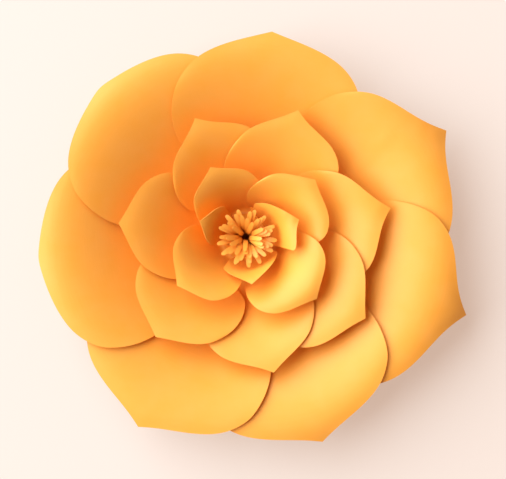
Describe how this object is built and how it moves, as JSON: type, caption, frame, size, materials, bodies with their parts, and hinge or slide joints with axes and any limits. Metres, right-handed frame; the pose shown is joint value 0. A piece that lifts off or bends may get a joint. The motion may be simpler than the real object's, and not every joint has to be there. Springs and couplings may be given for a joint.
{
  "type": "paper flower",
  "caption": "Large wall flower of folded and cut card, with rings of cupped petals round a fringed rolled centre on a card disc.",
  "frame": {"origin": "centre of the base disc's back face, where the flower meets the wall or the surface it lies on", "axes": "+Z out of the wall along the flower's axis, towards the viewer of the picture; +Y up in the picture; +X right in it"},
  "size_m": [0.3002, 0.2865, 0.0513],
  "materials": {
    "petal_paper": "matte dyed card, thin sheet, faint fibre",
    "centre_paper": "matte dyed card, cut fringe",
    "base_card": "matte card"
  },
  "bodies": {
    "root": {"outer_petal_1": "petal_paper", "outer_petal_2": "petal_paper", "outer_petal_3": "petal_paper", "outer_petal_4": "petal_paper", "outer_petal_5": "petal_paper", "outer_petal_6": "petal_paper", "outer_petal_7": "petal_paper", "middle_petal_1": "petal_paper", "middle_petal_2": "petal_paper", "middle_petal_3": "petal_paper", "middle_petal_4": "petal_paper", "middle_petal_5": "petal_paper", "middle_petal_6": "petal_paper", "middle_petal_7": "petal_paper", "inner_petal_1": "petal_paper", "inner_petal_2": "petal_paper", "inner_petal_3": "petal_paper", "inner_petal_4": "petal_paper", "heart_petal_1": "petal_paper", "heart_petal_2": "petal_paper", "heart_petal_3": "petal_paper", "fringed_centre": "centre_paper", "base_disc": "base_card"}
  },
  "joints": []
}
